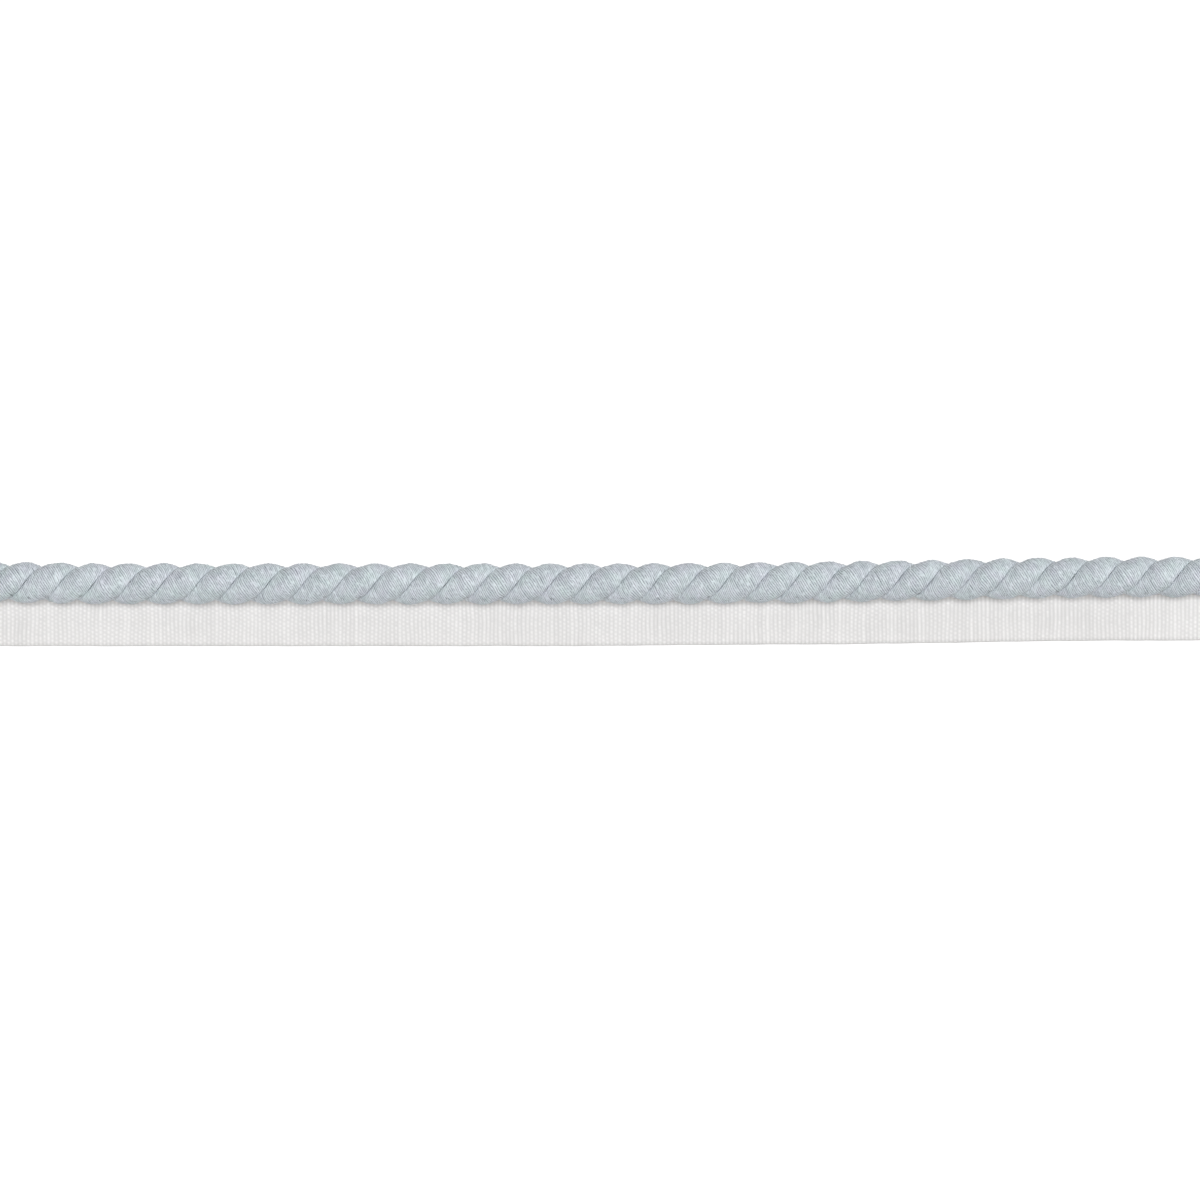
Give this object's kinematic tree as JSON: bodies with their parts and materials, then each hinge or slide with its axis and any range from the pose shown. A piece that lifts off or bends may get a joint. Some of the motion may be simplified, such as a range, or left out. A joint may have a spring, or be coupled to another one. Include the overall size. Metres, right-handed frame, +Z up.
{
  "type": "flanged cotton cord",
  "caption": "Length of twisted pale blue-grey cotton cord sewn along a white woven tape, whose flange is stitched into a seam to trim cushions, curtains or upholstery.",
  "frame": {"origin": "on the surface that the tape lies on, under the middle of the whole piece", "axes": "+X along the cord, +Y from the tape's free edge towards the cord, +Z up from the surface"},
  "size_m": [0.3, 0.022, 0.0113],
  "materials": {
    "gimped_cotton": "fine pale blue-grey cotton yarn wound closely round each ply, with a soft sheen",
    "woven_tape": "matt white cotton tape with fine crosswise ribs"
  },
  "bodies": {
    "root": {"ply_a": "gimped_cotton", "ply_b": "gimped_cotton", "tape": "woven_tape"}
  },
  "joints": []
}
